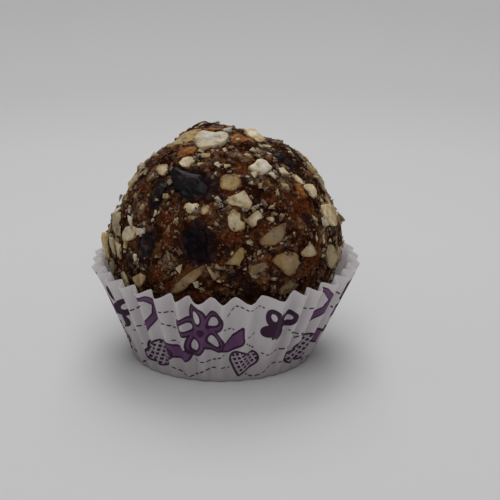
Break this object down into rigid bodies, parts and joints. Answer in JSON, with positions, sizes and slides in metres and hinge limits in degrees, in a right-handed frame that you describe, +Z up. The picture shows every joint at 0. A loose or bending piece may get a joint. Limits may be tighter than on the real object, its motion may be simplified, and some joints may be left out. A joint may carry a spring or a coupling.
{
  "type": "laddu",
  "caption": "Ball of pressed date paste with broken nuts and raisins, sitting in a fluted paper baking cup with a flat base.",
  "frame": {"origin": "centre of the paper cup's flat underside", "axes": "+Z up from the middle of the cup's base, -Y towards the front seen in the picture, +X to its right"},
  "size_m": [0.0519, 0.0519, 0.045],
  "materials": {
    "date_paste": "moist chopped date paste, satin",
    "nut": "broken cream nut, matte",
    "raisin": "wrinkled black raisin skin, half gloss",
    "printed_paper": "white baking paper with a purple print"
  },
  "bodies": {
    "root": {"laddu": "date_paste", "raisin_1": "raisin", "raisin_2": "raisin", "raisin_3": "raisin", "raisin_4": "raisin", "raisin_5": "raisin", "raisin_6": "raisin", "raisin_7": "raisin", "raisin_8": "raisin", "raisin_9": "raisin", "raisin_10": "raisin", "paper_cup": "printed_paper"}
  },
  "joints": []
}
